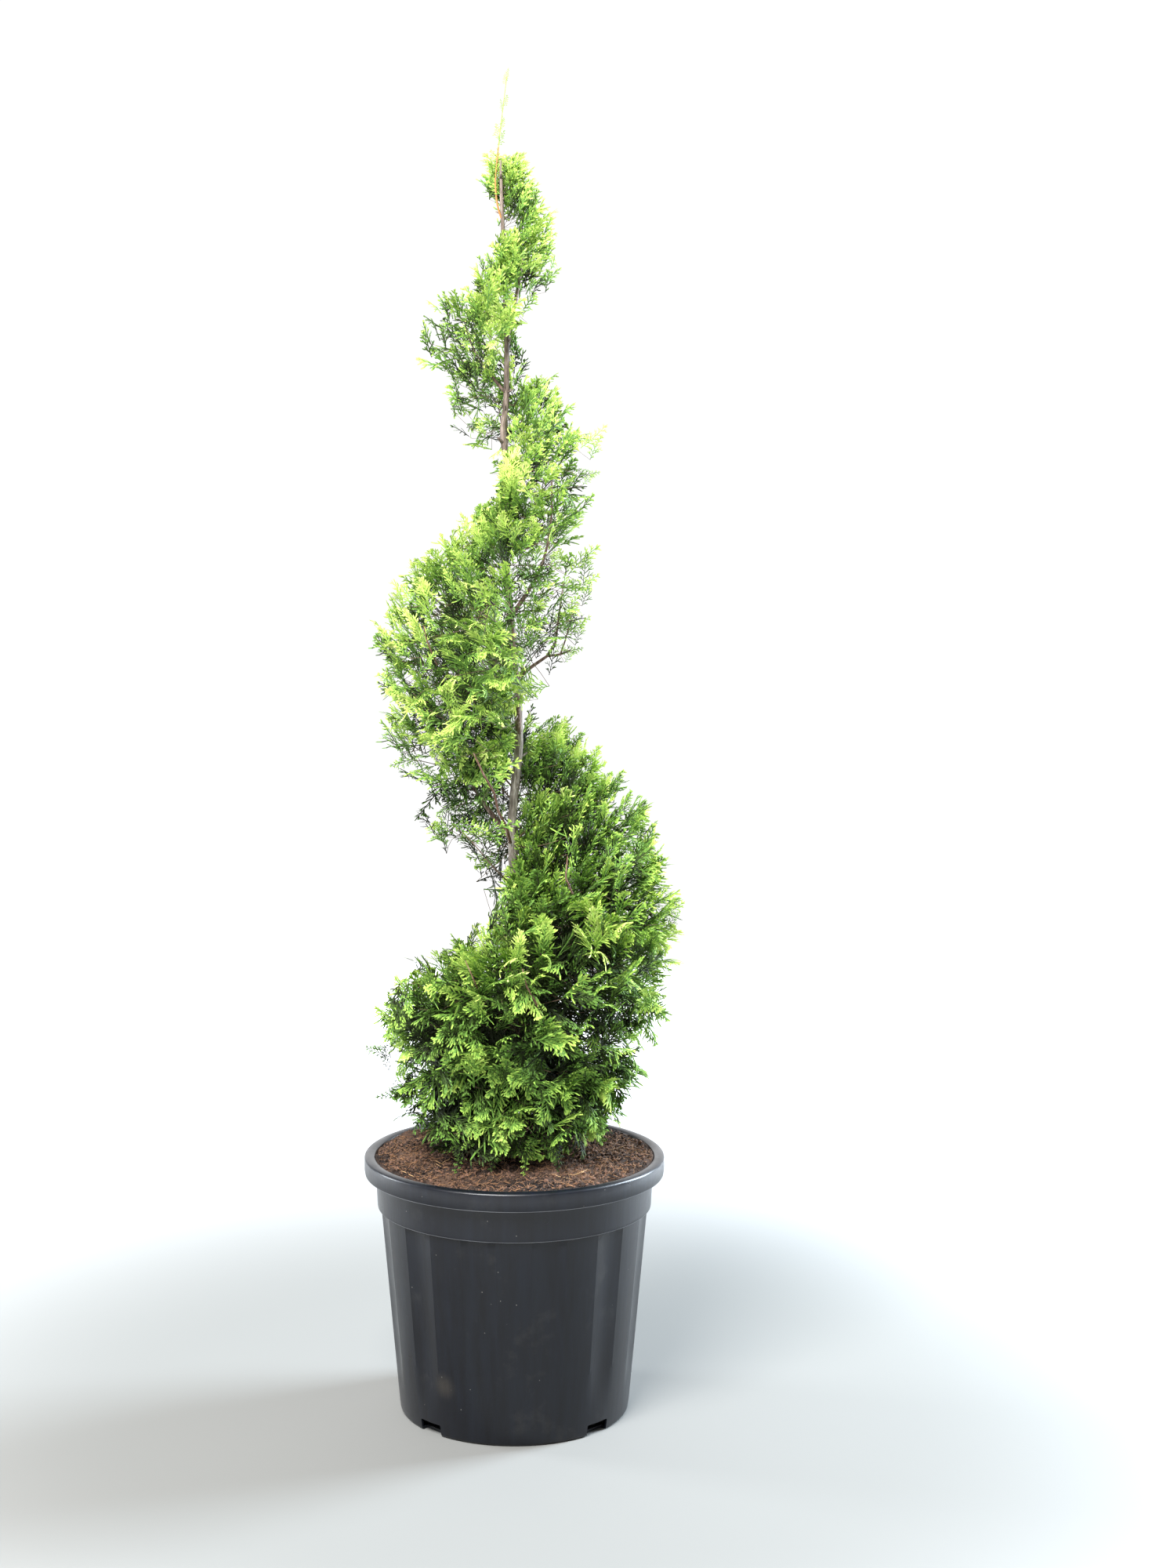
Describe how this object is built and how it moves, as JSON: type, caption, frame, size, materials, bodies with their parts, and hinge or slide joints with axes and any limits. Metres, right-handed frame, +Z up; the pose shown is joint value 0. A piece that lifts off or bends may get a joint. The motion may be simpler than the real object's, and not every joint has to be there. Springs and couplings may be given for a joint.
{
  "type": "spiral topiary in a nursery pot",
  "caption": "Clipped conifer whose crown winds round its trunk as one helical ledge, growing in a round moulded nursery pot filled with peat.",
  "frame": {"origin": "centre of the pot's flat underside, on the ground", "axes": "+Z up along the trunk, -Y towards the front view, +X to the viewer's right"},
  "size_m": [0.3773, 0.3766, 1.6216],
  "materials": {
    "pot_plastic": "satin",
    "peat": "matte",
    "bark": "matte",
    "foliage": "satin"
  },
  "bodies": {
    "root": {"pot": "pot_plastic", "peat": "peat", "trunk": "bark", "bough_crest_back": "bark", "foliage_crest_back": "foliage", "bough_crest_right": "bark", "foliage_crest_right": "foliage", "bough_crest_front": "bark", "foliage_crest_front": "foliage", "bough_crest_left": "bark", "foliage_crest_left": "foliage", "bough_upper_back": "bark", "foliage_upper_back": "foliage", "bough_upper_right": "bark", "foliage_upper_right": "foliage", "bough_upper_front": "bark", "foliage_upper_front": "foliage", "bough_upper_left": "bark", "foliage_upper_left": "foliage", "bough_lower_back": "bark", "foliage_lower_back": "foliage", "bough_lower_right": "bark", "foliage_lower_right": "foliage", "bough_foot_right": "bark", "foliage_foot_right": "foliage", "bough_lower_front": "bark", "foliage_lower_front": "foliage", "bough_lower_left": "bark", "foliage_lower_left": "foliage", "bough_foot_back": "bark", "foliage_foot_back": "foliage", "leader": "foliage"}
  },
  "joints": []
}
